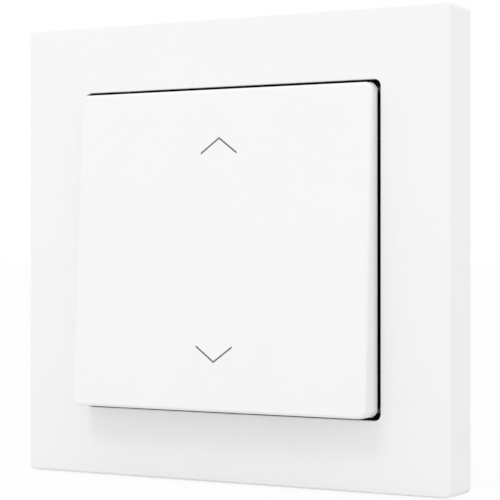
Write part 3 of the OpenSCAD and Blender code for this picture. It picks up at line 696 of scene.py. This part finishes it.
# ---- Conductor rails ----------------------------------------------------------------------
# Three rails punched from rolled brass strip and bent: one common, one for up, one for down.
# Their tabs carry the fixed silver contacts that the bridges close against.
rail_brass = sheet_metal("rail_brass", (0.80, 0.62, 0.30), 0.3, 220, 0.72, (40, 40, 400))
for name in ("rail_common", "rail_up", "rail_down"):
    dress(nodes[name], rail_brass)
dress(nodes["fixed_contacts"], contact_silver)


# ---- Release keys -------------------------------------------------------------------------
# Two orange plastic keys flush with the back. Pressed in with a screwdriver, which rests in
# the dished middle, a key's two fingers open both clamps of its side.
key_orange = moulded_plastic("key_orange", (0.85, 0.24, 0.03), 0.4)
key_plate_t = 1.7 * mm
key_rim_r = 0.2 * mm
dish_edge = 0.6 * mm
dish_depth = 0.45 * mm
dish_taper = (0.7, 1, 0.94)
finger_w, finger_t = 1.5 * mm, 1.05 * mm
finger_shift = 0.35 * mm
sunk = 0.1 * mm
for side, inward in (("left", 1), ("right", -1)):
    low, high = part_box("release_key_" + side)
    middle, width, length = (low.x + high.x) / 2, high.x - low.x, high.z - low.z
    key = block("key_plate_" + side, width, key_plate_t, length, front=-high.y, x=middle)
    bpy.ops.object.mode_set(mode="EDIT")
    pick_faces(key, lambda at, normal: normal.y > 0.9)
    bpy.ops.mesh.inset(thickness=dish_edge)
    bpy.ops.mesh.extrude_region_move(TRANSFORM_OT_translate={"value": (0, -dish_depth, 0)})
    bpy.ops.transform.resize(value=dish_taper, center_override=(middle, 0, 0))
    pick_edges(key, lambda at, way: along_y(way) or at.y > high.y - near)
    round_off(key_rim_r, 3)
    smooth(key)
    plate_z = key_plate_t - sunk - high.y
    fingers = []
    for up in (-1, 1):
        fingers.append(block("finger", finger_w, -plate_z - low.y, finger_t, front=plate_z,
                             x=middle - inward * finger_shift, z=up * (length - finger_t) / 2))
    join_all(key, fingers)
    dress(key, key_orange)
    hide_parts("release_key_" + side)
    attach(key, "key_" + side)


# ---- Claws --------------------------------------------------------------------------------
# Two claws of bent and zinc-plated steel sheet beside the base. Their lugs bear on the ring,
# and the toothed toes swing out to grip the wall box.
claw_zinc = sheet_metal("claw_zinc", (0.64, 0.65, 0.66), 0.38, 240, 0.78, (40, 40, 300))
dress(nodes["claw_left"], claw_zinc)
dress(nodes["claw_right"], claw_zinc)


# ---- Claw screws --------------------------------------------------------------------------
# Slotted pan head screws M3 of yellow zinc-plated steel. Turned in from the front, each
# one pulls its claw's foot forward on the thread.
pitch = 0.5 * mm
core_r = 1.25 * mm
crest_r = 1.5 * mm
ridge_r = 0.52 * pitch
point_l = 0.9 * mm
point_taper = (0.7, 0.7, 1)
neck_l = 0.3 * mm
pan_r = 2.8 * mm
pan_h = 2.0 * mm
pan_rim_r = 0.6 * mm
slot_w = 0.8 * mm
for side in ("left", "right"):
    low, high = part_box("claw_screw_" + side)
    centre_x, centre_z = (low.x + high.x) / 2, (low.z + high.z) / 2
    shank = high.y - low.y - pan_h

    # Head: a cylinder with a rounded rim, and the slot for the screwdriver
    bpy.ops.object.select_all(action="DESELECT")
    bpy.ops.mesh.primitive_cylinder_add(vertices=48, radius=pan_r, depth=pan_h,
                                        location=(0, 0, pan_h / 2))
    screw = bpy.context.object
    bpy.ops.object.transform_apply(location=True)
    screw.name = screw.data.name = "claw_screw_threaded_" + side
    bpy.ops.object.mode_set(mode="EDIT")
    pick_edges(screw, lambda at, way: at.z > pan_h - near)
    round_off(pan_rim_r, 6)
    bpy.ops.object.mode_set(mode="OBJECT")
    bpy.ops.object.select_all(action="DESELECT")
    bpy.ops.mesh.primitive_cube_add(size=1, location=(0, 0, pan_h),
                                    scale=(slot_w, 3 * pan_r, pan_h))
    bpy.ops.object.transform_apply(location=True, rotation=False, scale=True)
    cut_out(screw, bpy.context.object)

    # Shank: a core drawn to a point, and the thread wound round it as a ridge
    bpy.ops.object.select_all(action="DESELECT")
    bpy.ops.mesh.primitive_cylinder_add(vertices=32, radius=core_r, depth=shank + 2 * sunk,
                                        location=(0, 0, sunk - shank / 2))
    core = bpy.context.object
    bpy.ops.object.transform_apply(location=True)
    bpy.ops.object.mode_set(mode="EDIT")
    pick_faces(core, lambda at, normal: normal.z < -0.9)
    bpy.ops.transform.resize(value=point_taper, center_override=(0, 0, 0))
    bpy.ops.object.mode_set(mode="OBJECT")
    turns = int((shank - point_l - neck_l) / pitch)
    ridge = wind(3, ridge_r, (crest_r - ridge_r, 0, point_l - shank), math.pi / 2, pitch, turns, 24)
    bpy.ops.object.mode_set(mode="OBJECT")
    join_all(screw, [core, ridge])
    bpy.ops.object.mode_set(mode="EDIT")
    lay_down(screw, (centre_x, low.y + pan_h, centre_z))
    dress(screw, screw_zinc)
    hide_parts("claw_screw_" + side)
    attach(screw, side + "_claw_screw")
